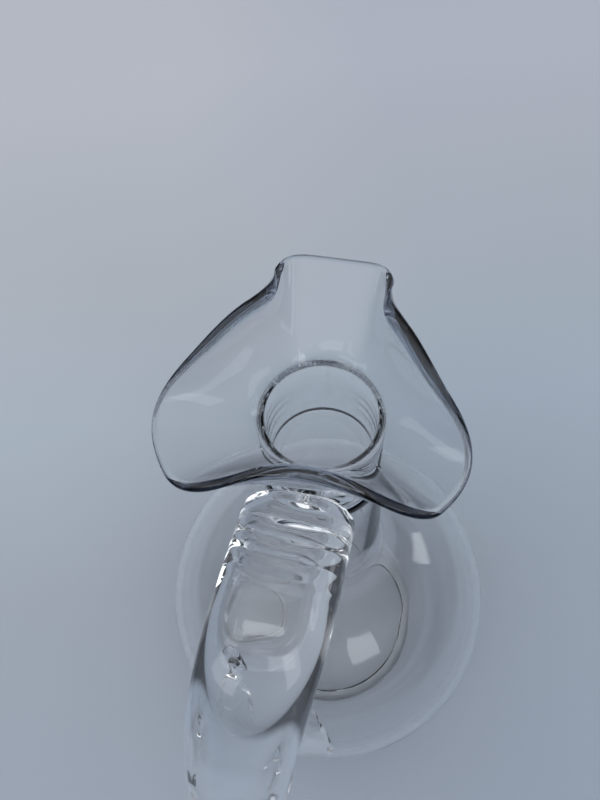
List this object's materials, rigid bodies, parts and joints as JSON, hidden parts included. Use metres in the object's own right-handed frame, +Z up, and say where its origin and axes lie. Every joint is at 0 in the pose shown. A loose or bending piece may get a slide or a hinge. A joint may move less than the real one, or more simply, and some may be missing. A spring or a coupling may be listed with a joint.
{
  "type": "glass jug",
  "caption": "Clear hand-blown glass jug with a round bowl, long neck, three-lobed pouring lip and one solid strap handle.",
  "frame": {"origin": "middle of the resting plane, on the axis of bowl and neck", "axes": "+Z up along the neck, +X out through the pouring lobe, handle on the -X side"},
  "size_m": [0.1529, 0.128, 0.2377],
  "materials": {
    "blown_glass": "clear fire-polished blown glass",
    "foot_glass": "clear thick glass with a ground pontil hollow",
    "handle_glass": "clear solid drawn glass"
  },
  "bodies": {
    "root": {"bowl": "blown_glass", "neck": "blown_glass", "pouring_lip": "blown_glass", "foot": "foot_glass", "upper_handle_joint": "handle_glass", "handle": "handle_glass", "lower_handle_joint": "handle_glass"}
  },
  "joints": []
}
